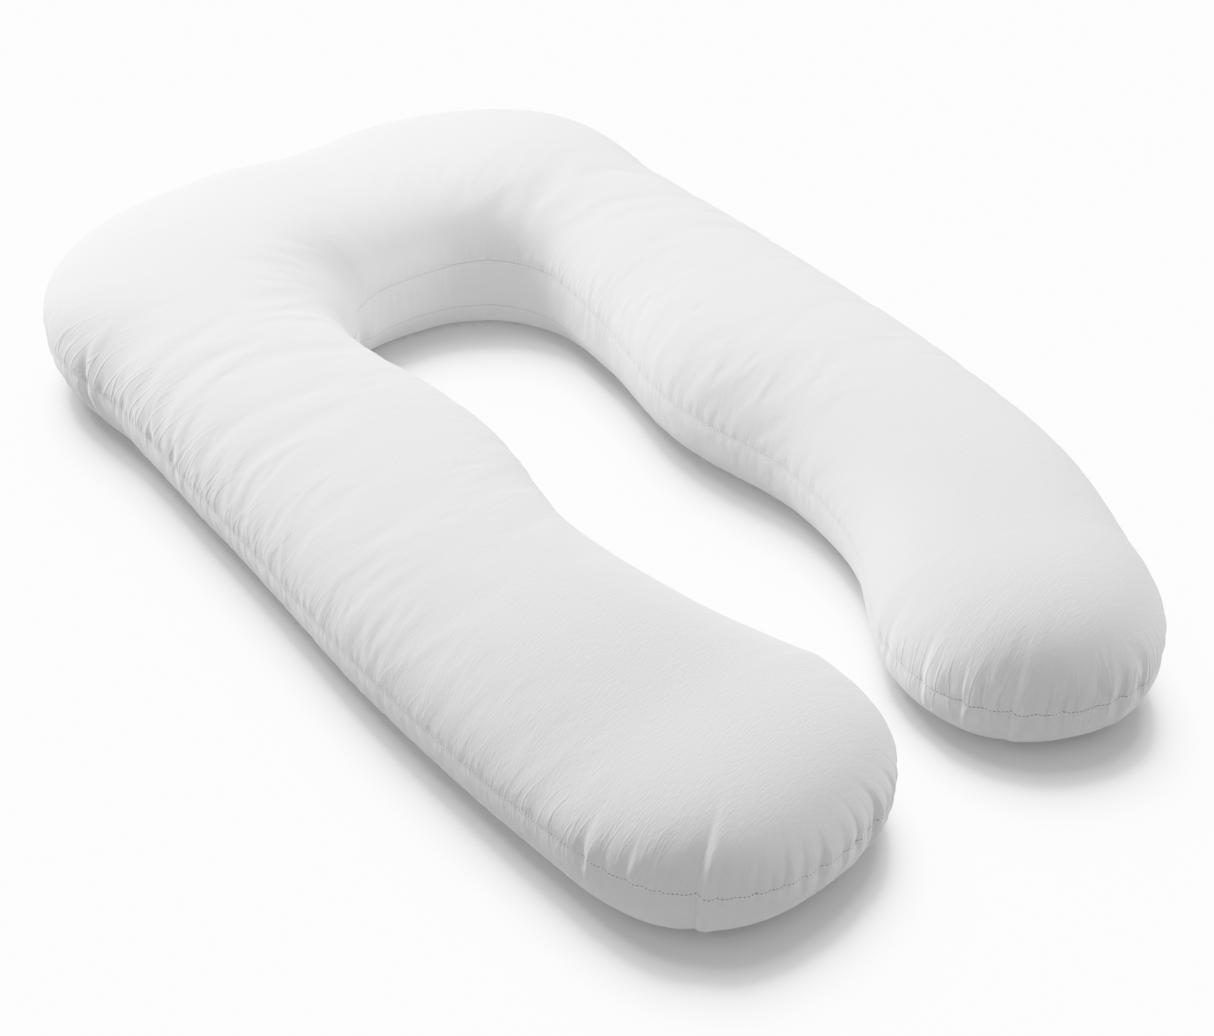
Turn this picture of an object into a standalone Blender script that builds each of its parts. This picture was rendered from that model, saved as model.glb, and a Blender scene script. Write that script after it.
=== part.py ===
"""U-shaped pregnancy pillow, lying flat on the floor.

One filled cloth solid: a crowned top panel, a bottom panel that is flat where it rests, the seam drawn in all the
way round between them, the upright band inside the bend, and the main gathers and creases of the cloth.
Metres, +Z up. The origin is on the floor below the middle of the pillow. The legs point along -Y, the head is at +Y.
"""
import bpy
import numpy as np

# Sections across the filled pillow, from the end of the left leg round the head to the end of the right leg.
# x, y: crown line; outer, inner: half widths to the seam on each side; crown, seam, wall: heights of the crown, of
# the outer seam and of the inner seam; foot: share of the inner half width that lies on the floor.
SECTIONS = [
    # place            x       y      outer  inner  crown  seam   wall   foot
    ("left end",      -0.220, -0.507, 0.179, 0.187, 0.155, 0.087, 0.064, 0.62),
    ("left foot",     -0.236, -0.380, 0.175, 0.139, 0.177, 0.081, 0.064, 0.62),
    ("left shin",     -0.257, -0.200, 0.163, 0.122, 0.186, 0.079, 0.070, 0.62),
    ("left knee",     -0.254,  0.000, 0.162, 0.144, 0.190, 0.076, 0.080, 0.65),
    ("left thigh",    -0.265,  0.170, 0.149, 0.132, 0.190, 0.076, 0.092, 0.75),
    ("left shoulder", -0.262,  0.322, 0.153, 0.118, 0.192, 0.079, 0.097, 0.86),
    ("left corner",   -0.208,  0.462, 0.226, 0.143, 0.198, 0.080, 0.097, 0.88),
    ("left bend",     -0.110,  0.522, 0.181, 0.155, 0.193, 0.070, 0.097, 0.88),
    ("head",           0.000,  0.532, 0.168, 0.152, 0.182, 0.066, 0.098, 0.88),
    ("right bend",     0.110,  0.520, 0.180, 0.154, 0.196, 0.066, 0.100, 0.88),
    ("right corner",   0.202,  0.452, 0.205, 0.143, 0.204, 0.068, 0.104, 0.86),
    ("right shoulder", 0.258,  0.322, 0.141, 0.116, 0.189, 0.066, 0.104, 0.82),
    ("right thigh",    0.266,  0.170, 0.147, 0.121, 0.186, 0.064, 0.098, 0.70),
    ("right knee",     0.261,  0.000, 0.159, 0.141, 0.187, 0.064, 0.087, 0.62),
    ("right shin",     0.262, -0.200, 0.157, 0.110, 0.186, 0.066, 0.079, 0.60),
    ("right foot",     0.246, -0.380, 0.151, 0.131, 0.180, 0.069, 0.073, 0.60),
    ("right end",      0.206, -0.502, 0.140, 0.158, 0.170, 0.077, 0.067, 0.62),
]
LEFT_REACH = 0.180     # how far each leg end goes beyond its last section
RIGHT_REACH = 0.176
OUTER_FOOT = 0.66      # share of the outer half width that lies on the floor
LEFT_POWER = 2.4       # superellipse powers of the leg ends from above and of the top of a section
RIGHT_POWER = 2.3
CROWN_POWER = 2.4
SEAM_DRAW = 0.005      # the seam is drawn in this far, in a valley this wide on each side
SEAM_VALLEY = 0.014

# Gathers: short folds that start at the seam and fade over the top panel. A stretch runs between two section
# numbers on the outer or inner side, or between two shares of the way round a leg end.
GATHERS = [
    # side         from   to    pitch  depth   reach  lean
    ("outer",      0.0,   2.5,  0.036, 0.0040, 0.095, 0.30),
    ("outer",      2.5,   4.8,  0.034, 0.0040, 0.105, 0.45),
    ("outer",      4.8,   6.2,  0.038, 0.0060, 0.100, 0.20),
    ("outer",     10.5,  16.0,  0.048, 0.0030, 0.090, -0.20),
    ("right end",  0.0,   1.0,  0.036, 0.0055, 0.070, 0.00),
    ("inner",     16.0,  14.5,  0.040, 0.0040, 0.070, 0.00),
    ("inner",     13.0,   9.8,  0.036, 0.0030, 0.050, 0.20),
    ("inner",      4.2,   2.2,  0.042, 0.0035, 0.065, 0.00),
    ("inner",      1.2,   0.0,  0.040, 0.0045, 0.070, 0.00),
    ("left end",   0.0,   1.0,  0.036, 0.0055, 0.075, 0.00),
]
FOLD_WIDTH = 0.26      # half width of a gather, as a share of its pitch
UNDER_REACH = 0.024    # the same folds fade faster over the bottom panel
# No two gathers are alike: each is shifted by up to this share of the pitch, and its sizes vary by these factors
SHIFT = 0.25
DEPTH_SPREAD = (0.55, 1.25)
WIDTH_SPREAD = (0.80, 1.30)
REACH_SPREAD = (0.60, 1.40)
FOLD_SEED = 7

# Creases: long soft troughs in the top panel. Each runs between two points as seen from above and bows to its left.
CREASES = [
    # x0     y0      x1      y1     bow    depth   width
    # Fan from the inner corner of the left bend, out over the top of the leg
    (-0.112, 0.366, -0.245, 0.300,  0.012, 0.0075, 0.018),
    (-0.122, 0.360, -0.222, 0.350,  0.014, 0.0040, 0.014),
    (-0.110, 0.372, -0.198, 0.388,  0.012, 0.0040, 0.014),
    (-0.096, 0.380, -0.156, 0.428,  0.002, 0.0040, 0.015),
    (-0.165, 0.232, -0.275, 0.264, -0.004, 0.0030, 0.015),
    (-0.185, 0.164, -0.372, 0.204, -0.011, 0.0030, 0.017),
    (-0.280, 0.228, -0.410, 0.250, -0.002, 0.0045, 0.015),
    (-0.235, 0.108, -0.408, 0.148,  0.009, 0.0030, 0.017),
    # Soft waves across the left leg, and short ones over its inner side
    (-0.240, 0.020, -0.412, 0.016,  0.019, 0.0030, 0.019),
    (-0.244, -0.114, -0.412, -0.120, 0.020, 0.0030, 0.019),
    (-0.258, -0.264, -0.415, -0.256, 0.024, 0.0030, 0.019),
    (-0.152, -0.180, -0.258, -0.222, 0.015, 0.0035, 0.015),
    (-0.165, -0.286, -0.244, -0.262, 0.011, 0.0035, 0.015),
    # Fan over the right bend, and the kink where the right leg leaves the head
    (0.108, 0.350,  0.150, 0.382, -0.004, 0.0030, 0.014),
    (0.128, 0.324,  0.210, 0.372, -0.006, 0.0040, 0.016),
    (0.170, 0.332,  0.262, 0.404, -0.006, 0.0030, 0.017),
    (0.370, 0.262,  0.240, 0.348, -0.022, 0.0060, 0.018),
    (0.365, 0.222,  0.188, 0.270, -0.014, 0.0035, 0.016),
    (0.365, 0.168,  0.202, 0.238, -0.023, 0.0040, 0.017),
    # Waves across the outer half of the right leg
    (0.385, 0.120,  0.205, 0.164, -0.018, 0.0035, 0.018),
    (0.385, 0.036,  0.228, 0.045, -0.018, 0.0035, 0.018),
    (0.385, -0.086, 0.226, -0.092, -0.024, 0.0035, 0.018),
    (0.370, -0.190, 0.166, -0.190, -0.032, 0.0035, 0.018),
    (0.150, -0.214, 0.215, -0.222, 0.004, 0.0030, 0.015),
]

# Mesh density
STATIONS = 150                              # steps along the crown line
END_STEPS = 48                              # steps round each leg end
TOP_ANGLES = (0, 3, 9, 18, 30, 44, 58, 73)  # degrees up a section, from the seam towards the crown
LOW_ANGLES = (10, 34, 62, 90)               # degrees down a section, from the seam to the floor
CLOTH_COLOUR = (0.86, 0.86, 0.87, 1.0)


def smooth_rows(knots, rows, at):
    """Rows read at any place between them: cubic pieces whose slopes come from the neighbouring rows."""
    slope = np.gradient(rows, knots, axis=0)
    i = np.clip(np.searchsorted(knots, at, side="right") - 1, 0, len(knots) - 2)
    step = (knots[i + 1] - knots[i])[:, None]
    t = (at - knots[i])[:, None] / step
    return (rows[i] * (2 * t**3 - 3 * t**2 + 1) + slope[i] * step * (t**3 - 2 * t**2 + t)
            + rows[i + 1] * (3 * t**2 - 2 * t**3) + slope[i + 1] * step * (t**3 - t**2))


def leg_end(crown_point, side, ahead, widths, reach, power):
    """Seam of a leg end seen from above: half a superellipse, from the first side's width to the second's."""
    angle = np.linspace(0, np.pi, END_STEPS + 2)[1:-1]
    across = np.sign(np.cos(angle)) * np.abs(np.cos(angle)) ** (2 / power)
    forward = np.sin(angle) ** (2 / power) * reach
    width = np.where(across > 0, widths[0], widths[1])
    return crown_point + side * (across * width)[:, None] + ahead * forward[:, None]


def seam_loop():
    """The seam from above as one closed loop: outer side, right end, inner side and left end.

    Returns arrays with a row for each point of the loop: its place on the seam, the point of the crown line that
    it belongs to, that point's number, the heights and foot of its section, and its side and place in GATHERS.
    """
    rows = np.array([row[1:] for row in SECTIONS])
    knots = np.concatenate([[0], np.cumsum(np.hypot(*np.diff(rows[:, :2], axis=0).T))])
    at = np.linspace(0, knots[-1], STATIONS)
    sections = smooth_rows(knots, rows, at)
    crown = sections[:, :2]
    outer, inner, top, seam, wall, foot = sections[:, 2:].T
    ahead = np.gradient(crown, at, axis=0)
    ahead /= np.linalg.norm(ahead, axis=1)[:, None]
    side = np.column_stack([-ahead[:, 1], ahead[:, 0]])
    number = np.interp(at, knots, np.arange(len(rows)))

    right = leg_end(crown[-1], side[-1], ahead[-1], (outer[-1], inner[-1]), RIGHT_REACH, RIGHT_POWER)
    left = leg_end(crown[0], -side[0], -ahead[0], (inner[0], outer[0]), LEFT_REACH, LEFT_POWER)
    share = np.linspace(0, 1, END_STEPS + 2)[1:-1]
    blend = (1 - np.cos(share * np.pi)) / 2
    station = np.arange(STATIONS)
    last = np.full(END_STEPS, STATIONS - 1)
    first = np.zeros(END_STEPS, int)
    core = np.concatenate([station, last, station[::-1], first])
    edge = np.vstack([crown + side * outer[:, None], right, (crown - side * inner[:, None])[::-1], left])
    seam_z = np.concatenate([seam, seam[-1] + (wall[-1] - seam[-1]) * blend, wall[::-1],
                             wall[0] + (seam[0] - wall[0]) * blend])
    foot_share = np.concatenate([np.full(STATIONS, OUTER_FOOT), OUTER_FOOT + (foot[-1] - OUTER_FOOT) * blend,
                                 foot[::-1], foot[0] + (OUTER_FOOT - foot[0]) * blend])
    sides = np.repeat(["outer", "right end", "inner", "left end"], [STATIONS, END_STEPS, STATIONS, END_STEPS])
    place = np.concatenate([number, share, number[::-1], share])
    return edge, crown[core], core, top[core], seam_z, foot_share, sides, place


def section_rings(edge, crown, top, seam_z, foot):
    """Closed rings round the pillow, stacked from the last one below the crown down to the edge of the flat foot.

    Above the seam a section is a quarter superellipse up to the crown. Below it, it is a quarter ellipse that turns
    under to the foot on the floor.
    """
    rings = []
    for angle in np.radians(TOP_ANGLES[::-1]):
        out = np.cos(angle) ** (2 / CROWN_POWER)
        rise = np.sin(angle) ** (2 / CROWN_POWER)
        rings.append(np.column_stack([crown + (edge - crown) * out, seam_z + (top - seam_z) * rise]))
    for angle in np.radians(LOW_ANGLES):
        out = foot + (1 - foot) * np.cos(angle)
        height = seam_z * (1 - np.sin(angle))
        rings.append(np.column_stack([crown + (edge - crown) * out[:, None], height]))
    return np.array(rings)


def outward(rings):
    """Outward direction at each point, square to the ring and to the section that cross there."""
    along = np.roll(rings, -1, axis=1) - np.roll(rings, 1, axis=1)
    down = np.gradient(rings, axis=0)
    normal = np.cross(along, down)
    return normal / np.linalg.norm(normal, axis=2)[..., None]


def gather_depth(rings, sides, place):
    """How far each point is pressed in by the drawn seam and by the gathers that start at it."""
    seam = len(TOP_ANGLES) - 1
    step = np.linalg.norm(np.diff(rings, axis=0), axis=2)
    height = np.zeros(rings.shape[:2])
    for level in range(seam - 1, -1, -1):
        height[level] = height[level + 1] + step[level]
    for level in range(seam + 1, len(rings)):
        height[level] = height[level - 1] - step[level - 1]
    depth = SEAM_DRAW * np.exp(-(height / SEAM_VALLEY) ** 2)

    ring = rings[seam]
    arc = np.concatenate([[0], np.cumsum(np.linalg.norm(np.diff(ring, axis=0), axis=1))])
    random = np.random.default_rng(FOLD_SEED)
    for side, start, stop, pitch, fold, reach, lean in GATHERS:
        here = np.flatnonzero(sides == side)
        order = here[np.argsort(place[here])]
        ends = sorted(np.interp([start, stop], place[order], arc[order]))
        count = int((ends[1] - ends[0]) / pitch)
        for centre in np.linspace(*ends, count):
            middle = centre + random.uniform(-SHIFT, SHIFT) * pitch
            deep = fold * random.uniform(*DEPTH_SPREAD)
            width = FOLD_WIDTH * pitch * random.uniform(*WIDTH_SPREAD)
            length = reach * random.uniform(*REACH_SPREAD)
            away = (arc - middle - lean * np.maximum(height, 0)) / width
            fade = np.where(height >= 0, np.exp(-(height / length) ** 2), np.exp(height / UNDER_REACH))
            depth += deep * np.exp(-away ** 2) * fade
    return depth


def crease_depth(points):
    """How far the top panel is pressed in by the creases, from the distance to each bowed line seen from above."""
    depth = np.zeros(points.shape[:-1])
    for x0, y0, x1, y1, bow, deep, width in CREASES:
        run = np.array([x1 - x0, y1 - y0])
        length = np.hypot(*run)
        from_start = points[..., :2] - (x0, y0)
        share = np.clip(from_start @ run / length ** 2, 0, 1)
        beside = (from_start @ (-run[1], run[0])) / length - 4 * bow * share * (1 - share)
        beyond = from_start @ run / length - share * length
        taper = np.sqrt(np.sin(share * np.pi))
        depth += deep * taper * np.exp(-(beside ** 2 + beyond ** 2) / width ** 2)
    return depth


def pillow_mesh():
    """The closed skin of the pillow, folds included."""
    edge, crown, core, top, seam_z, foot, sides, place = seam_loop()
    rings = section_rings(edge, crown, top, seam_z, foot)
    seam = len(TOP_ANGLES) - 1
    press = gather_depth(rings, sides, place)
    press[:seam] += crease_depth(rings[:seam])
    press[-1] = 0
    rings = rings - outward(rings) * press[..., None]
    rings[-1, :, 2] = 0

    crown_line = np.column_stack([crown[:STATIONS], top[:STATIONS]])
    crown_line[:, 2] -= crease_depth(crown_line)
    foot_line = crown_line * (1, 1, 0)
    points = np.vstack([rings.reshape(-1, 3), crown_line, foot_line])

    loop = len(core)
    here = np.arange(loop)
    ahead = np.roll(here, -1)
    faces = []
    for level in range(len(rings) - 1):
        upper, lower = level * loop, (level + 1) * loop
        faces += np.column_stack([upper + here, upper + ahead, lower + ahead, lower + here]).tolist()
    top_start = len(rings) * loop
    foot_start = top_start + STATIONS
    low_ring = (len(rings) - 1) * loop
    for m, n in zip(here, ahead):
        cap = [m, top_start + core[m], top_start + core[n], n]
        sole = [low_ring + m, low_ring + n, foot_start + core[n], foot_start + core[m]]
        if core[m] == core[n]:
            cap.pop(2)
            sole.pop()
        faces += [cap, sole]
    mesh = bpy.data.meshes.new("pillow")
    mesh.from_pydata(points.tolist(), [], [[int(corner) for corner in face] for face in faces])
    mesh.shade_smooth()
    return mesh


def cloth_material():
    """White brushed cotton, dull and close."""
    material = bpy.data.materials.new("white cotton")
    material.use_nodes = True
    shader = material.node_tree.nodes["Principled BSDF"]
    shader.inputs["Base Color"].default_value = CLOTH_COLOUR
    shader.inputs["Roughness"].default_value = 0.9
    shader.inputs["Metallic"].default_value = 0.0
    return material


for old in list(bpy.data.objects):
    bpy.data.objects.remove(old)

collection = bpy.data.collections.new("pregnancy pillow")
bpy.context.scene.collection.children.link(collection)
pillow = bpy.data.objects.new("pillow", pillow_mesh())
pillow.data.materials.append(cloth_material())
collection.objects.link(pillow)
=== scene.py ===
import bpy
import numpy as np
from mathutils import Matrix, Vector


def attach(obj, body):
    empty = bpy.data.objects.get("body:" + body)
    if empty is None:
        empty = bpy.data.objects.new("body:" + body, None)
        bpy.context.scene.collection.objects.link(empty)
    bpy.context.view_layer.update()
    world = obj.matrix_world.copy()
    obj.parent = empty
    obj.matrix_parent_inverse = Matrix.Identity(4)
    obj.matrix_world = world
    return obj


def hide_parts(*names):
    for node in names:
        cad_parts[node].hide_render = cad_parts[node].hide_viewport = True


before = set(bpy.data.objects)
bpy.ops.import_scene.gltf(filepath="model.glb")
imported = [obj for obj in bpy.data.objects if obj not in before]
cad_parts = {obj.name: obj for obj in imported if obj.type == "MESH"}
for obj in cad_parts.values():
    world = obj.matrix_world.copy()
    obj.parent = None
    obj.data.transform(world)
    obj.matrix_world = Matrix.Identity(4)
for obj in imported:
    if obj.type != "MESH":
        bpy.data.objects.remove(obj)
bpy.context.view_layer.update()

# Filled pillow: a top and a bottom panel of white brushed cotton twill, sewn edge to edge all the way round, with an
# upright band let in round the inside of the bend. It is turned, stuffed with loose fibre through a gap in the seam
# and closed, so the panels crown, the seam is drawn in, and the spare cloth of the curved edges gathers into folds.
SECTIONS = [
    # place            x       y      outer  inner  crown  seam   wall   foot
    ("left end",      -0.220, -0.507, 0.179, 0.187, 0.155, 0.087, 0.064, 0.62),
    ("left foot",     -0.236, -0.380, 0.175, 0.139, 0.177, 0.081, 0.064, 0.62),
    ("left shin",     -0.257, -0.200, 0.163, 0.122, 0.186, 0.079, 0.070, 0.62),
    ("left knee",     -0.254,  0.000, 0.162, 0.144, 0.190, 0.076, 0.080, 0.65),
    ("left thigh",    -0.265,  0.170, 0.149, 0.132, 0.190, 0.076, 0.092, 0.75),
    ("left shoulder", -0.262,  0.322, 0.153, 0.118, 0.192, 0.079, 0.097, 0.86),
    ("left corner",   -0.208,  0.462, 0.226, 0.143, 0.198, 0.080, 0.097, 0.88),
    ("left bend",     -0.110,  0.522, 0.181, 0.155, 0.193, 0.070, 0.097, 0.88),
    ("head",           0.000,  0.532, 0.168, 0.152, 0.182, 0.066, 0.098, 0.88),
    ("right bend",     0.110,  0.520, 0.180, 0.154, 0.196, 0.066, 0.100, 0.88),
    ("right corner",   0.202,  0.452, 0.205, 0.143, 0.204, 0.068, 0.104, 0.86),
    ("right shoulder", 0.258,  0.322, 0.141, 0.116, 0.189, 0.066, 0.104, 0.82),
    ("right thigh",    0.266,  0.170, 0.147, 0.121, 0.186, 0.064, 0.098, 0.70),
    ("right knee",     0.261,  0.000, 0.159, 0.141, 0.187, 0.064, 0.087, 0.62),
    ("right shin",     0.262, -0.200, 0.157, 0.110, 0.186, 0.066, 0.079, 0.60),
    ("right foot",     0.246, -0.380, 0.151, 0.131, 0.180, 0.069, 0.073, 0.60),
    ("right end",      0.206, -0.502, 0.140, 0.158, 0.170, 0.077, 0.067, 0.62),
]
# Each leg end is half a superellipse beyond the last section
LEFT_REACH = 0.180
RIGHT_REACH = 0.176
LEFT_POWER = 2.4
RIGHT_POWER = 2.3
OUTER_FOOT = 0.66      # on the outer side the foot stands at this share of the half width
CROWN_POWER = 2.4
CORE_REACH = 0.45      # the crown line goes on into each leg end for this share of its reach
END_EASE = 0.045       # the crown's slope turns into the leg end over about this length
TURN_BLUR = 0.026      # the sections turn smoothly: their direction is averaged over about this length
USUAL_SIZE = (0.150, 0.115)    # half width of a usual section, and the height of its crown over the seam
ARC_STEPS = 4001
OUTER, RIGHT_END, INNER, LEFT_END = range(4)   # the four sides of the loop round the pillow


def smooth_rows(knots, rows, at):
    """Rows read at any place between them: cubic pieces whose slopes come from the neighbouring rows."""
    slope = np.gradient(rows, knots, axis=0)
    i = np.clip(np.searchsorted(knots, at, side="right") - 1, 0, len(knots) - 2)
    spread = (slice(None),) + (None,) * (rows.ndim - 1)
    step = (knots[i + 1] - knots[i])[spread]
    t = (at - knots[i])[spread] / step
    return (rows[i] * (2 * t**3 - 3 * t**2 + 1) + slope[i] * step * (t**3 - 2 * t**2 + t)
            + rows[i + 1] * (3 * t**2 - 2 * t**3) + slope[i + 1] * step * (t**3 - t**2))


def superellipse_angles(shares):
    """Angles at the given shares of the way along the arc of a usual section, from the seam (0) to the crown (1)."""
    angle = np.linspace(0, np.pi / 2, ARC_STEPS)
    half_width, height = USUAL_SIZE
    arc = np.column_stack([half_width * np.cos(angle) ** (2 / CROWN_POWER),
                           height * np.sin(angle) ** (2 / CROWN_POWER)])
    length = np.concatenate([[0], np.cumsum(np.linalg.norm(np.diff(arc, axis=0), axis=1))])
    return np.interp(shares, length / length[-1], angle)


class Skin:
    """The pillow's smooth skin on a grid: loop points round the seam by levels from the crown to the sole.

    The loop runs along the outer side, round the right leg end, back along the inner side and round the left leg
    end. Above the seam a section is a quarter superellipse up to the crown, below it a quarter ellipse that turns
    under to the foot, and the sole is flat.
    """

    def __init__(self, stations, steps, top_shares, low_shares, sole_shares):
        self.stations, self.steps = stations, steps
        self.seam_level = len(top_shares) - 1
        self.sole_levels = len(sole_shares)
        self.level_way = np.concatenate([top_shares[::-1], -low_shares, -1 - sole_shares])
        self.lay_loop()
        self.raise_rings(superellipse_angles(top_shares)[::-1], low_shares * np.pi / 2, sole_shares)
        self.raise_crown_line(superellipse_angles(top_shares)[::-1])
        self.heights()

    def lay_loop(self):
        """Edge, crown line and heights at each point of the loop, read between the rows of SECTIONS."""
        rows = np.array([row[1:] for row in SECTIONS])
        knots = np.concatenate([[0], np.cumsum(np.hypot(*np.diff(rows[:, :2], axis=0).T))])
        at = np.linspace(0, knots[-1], self.stations)
        crown = smooth_rows(knots, rows, at)[:, :2]
        outer, inner, top, seam, wall, foot = smooth_rows(knots, rows, at)[:, 2:].T
        turn = np.unwrap(np.arctan2(*np.gradient(crown, at, axis=0).T[::-1]))
        span = int(4 * TURN_BLUR / at[1])
        bell = np.exp(-0.5 * (np.arange(-span, span + 1) * at[1] / TURN_BLUR) ** 2)
        before, after = 2 * turn[0] - turn[span:0:-1], 2 * turn[-1] - turn[-2:-span - 2:-1]
        turn = np.convolve(np.concatenate([before, turn, after]), bell / bell.sum(), "valid")
        ahead = np.column_stack([np.cos(turn), np.sin(turn)])
        side = np.column_stack([-ahead[:, 1], ahead[:, 0]])
        slope = np.gradient(top, at)

        # Each leg end: where it begins, the way across and beyond, its two half widths, reach, power and the
        # crown's fall where it begins
        self.ends = ((RIGHT_END, crown[-1], side[-1], ahead[-1], (outer[-1], inner[-1]), RIGHT_REACH, RIGHT_POWER,
                      -slope[-1]),
                     (LEFT_END, crown[0], -side[0], -ahead[0], (inner[0], outer[0]), LEFT_REACH, LEFT_POWER,
                      slope[0]))
        share = np.linspace(0, 1, self.steps + 2)[1:-1]
        angle = share * np.pi
        edges, cores = [], []
        for _, point, across, beyond, widths, reach, power, _ in self.ends:
            width = np.where(np.cos(angle) > 0, *widths)
            sideways = np.sign(np.cos(angle)) * np.abs(np.cos(angle)) ** (2 / power) * width
            out = np.sin(angle) ** (2 / power) * reach
            edges.append(point + across * sideways[:, None] + beyond * out[:, None])
            cores.append(point + beyond * (CORE_REACH * reach * np.sin(angle))[:, None])

        def round_loop(along, right_end, back, left_end):
            """One array round the loop from the values on its four sides; the inner side runs back."""
            return np.concatenate([along, right_end, back[::-1], left_end])

        steps = self.steps
        blend = (1 - np.cos(angle)) / 2
        half = np.minimum(np.arange(steps), np.arange(steps)[::-1])
        station = np.arange(self.stations)
        number = np.interp(at, knots, np.arange(len(rows)))
        way = at / at[-1]
        self.edge = round_loop(crown + side * outer[:, None], edges[0], crown - side * inner[:, None], edges[1])
        self.centre = round_loop(crown, np.repeat(crown[-1:], steps, 0), crown, np.repeat(crown[:1], steps, 0))
        self.core_place = round_loop(crown, cores[0], crown, cores[1])
        self.core = round_loop(station, self.stations + half, station, self.stations + steps // 2 + half)
        self.top = round_loop(top, np.full(steps, top[-1]), top, np.full(steps, top[0]))
        self.seam = round_loop(seam, seam[-1] + (wall[-1] - seam[-1]) * blend,
                               wall, wall[0] + (seam[0] - wall[0]) * blend)
        self.foot = round_loop(np.full(self.stations, OUTER_FOOT), OUTER_FOOT + (foot[-1] - OUTER_FOOT) * blend,
                               foot, foot[0] + (OUTER_FOOT - foot[0]) * blend)
        self.sides = np.repeat([OUTER, RIGHT_END, INNER, LEFT_END], [self.stations, steps, self.stations, steps])
        self.place = round_loop(number, share, number, share)
        self.way = round_loop(way, 1 + share, 3 - way, 3 + share)

    def eased(self, plan):
        """Rise that rounds off the change of slope where a leg end begins: half that change times the gap between
        a hyperbola and the two straight lines it nears, faded out by a bell shape."""
        rise = np.zeros(len(plan))
        for _, point, _, beyond, _, _, _, fall in self.ends:
            far = (plan - point) @ beyond
            here = plan[:, 0] * point[0] > 0
            bend = (np.sqrt(far ** 2 + END_EASE ** 2) - np.abs(far)) * np.exp(-(far / (3 * END_EASE)) ** 2)
            rise += here * fall / 2 * bend
        return rise

    def raise_rings(self, top_angles, low_angles, sole_shares):
        """Rings from the crown to the sole: each is the edge drawn in towards the crown line, at its own height."""
        rings = []
        for angle in top_angles:
            out = np.cos(angle) ** (2 / CROWN_POWER)
            plan = self.core_place + (self.edge - self.core_place) * out
            far = np.full(len(plan), out)
            for end, point, across, beyond, widths, reach, power, _ in self.ends:
                here = self.sides == end
                x = (plan[here] - point) @ across
                y = (plan[here] - point) @ beyond
                wide = np.abs(x) / np.where(x > 0, *widths)
                far[here] = (wide ** power + (np.maximum(y, 0) / reach) ** power) ** (1 / power)
            rise = np.clip(1 - far ** CROWN_POWER, 0, 1) ** (1 / CROWN_POWER)
            if angle == 0:
                rise[:] = 0
            rings.append(np.column_stack([plan, self.seam + (self.top - self.seam + self.eased(plan)) * rise]))
        for angle in low_angles:
            out = self.foot + (1 - self.foot) * np.cos(angle)
            plan = self.centre + (self.edge - self.centre) * out[:, None]
            rings.append(np.column_stack([plan, self.seam * (1 - np.sin(angle))]))
        low = rings[-1][:, :2]
        for share_in in sole_shares:
            rings.append(np.column_stack([low + (self.core_place - low) * share_in, np.zeros(len(low))]))
        self.rings = np.array(rings)

    def raise_crown_line(self, top_angles):
        """Crown line at the mean height of the two sections that meet on it; the rings near it follow."""
        points = self.stations + self.steps
        tall = self.top.copy()
        for end, _, _, _, _, reach, _, _ in self.ends:
            here = self.sides == end
            far = np.linalg.norm(self.core_place[here] - self.centre[here], axis=1) / reach
            rise = (1 - far ** CROWN_POWER) ** (1 / CROWN_POWER)
            tall[here] = self.seam[here] + (self.top[here] - self.seam[here]) * rise
        tall += self.eased(self.core_place) * (tall - self.seam) / (self.top - self.seam)
        total, count = np.zeros(points), np.zeros(points)
        np.add.at(total, self.core, tall)
        np.add.at(count, self.core, 1)
        self.crown_line = np.zeros((points, 3))
        self.crown_line[self.core, :2] = self.core_place
        self.crown_line[:, 2] = total / count
        slip = self.crown_line[self.core, 2] - tall
        nearness = 1 - np.cos(top_angles) ** (2 / CROWN_POWER)
        self.rings[:len(top_angles), :, 2] += slip * nearness[:, None]

    def heights(self):
        """Signed distance from the seam along each section: positive up to the crown, negative below."""
        step = np.linalg.norm(np.diff(self.rings, axis=0), axis=2)
        run = np.concatenate([np.zeros((1, step.shape[1])), np.cumsum(step, axis=0)])
        self.height = run[self.seam_level] - run
        ring = self.rings[self.seam_level]
        span = np.linalg.norm(np.roll(ring, -1, axis=0) - ring, axis=1)
        self.arc = np.concatenate([[0], np.cumsum(span)[:-1]])
        self.round = span.sum()

    def arc_at(self, side, place):
        """Distance round the seam of a place on one side of the loop."""
        here = np.flatnonzero(self.sides == side)
        here = here[np.argsort(self.place[here])]
        return np.interp(place, self.place[here], self.arc[here])

    def outward(self, rings=None):
        """Outward direction at each point, square to the ring and to the section that cross there."""
        rings = self.rings if rings is None else rings
        along = np.roll(rings, -1, axis=1) - np.roll(rings, 1, axis=1)
        normal = np.cross(along, np.gradient(rings, axis=0))
        return normal / np.linalg.norm(normal, axis=2)[..., None]

    def faces(self):
        """Four-sided faces between the levels, and those that close the top and the sole along the crown line."""
        loop, levels = len(self.core), len(self.rings)
        here = np.arange(loop)
        ahead = np.roll(here, -1)
        upper = np.arange(levels - 1)[:, None] * loop
        quads = np.stack([upper + here, upper + ahead, upper + loop + ahead, upper + loop + here], axis=2)
        top = levels * loop
        sole = top + self.stations + self.steps
        low = (levels - 1) * loop
        cap = np.stack([here, top + self.core, top + self.core[ahead], ahead], axis=1)
        under = np.stack([low + here, low + ahead, sole + self.core[ahead], sole + self.core], axis=1)
        faces = quads.reshape(-1, 4).tolist()
        for face in cap.tolist() + under.tolist():
            faces.append(list(dict.fromkeys(face)))
        return faces

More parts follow.
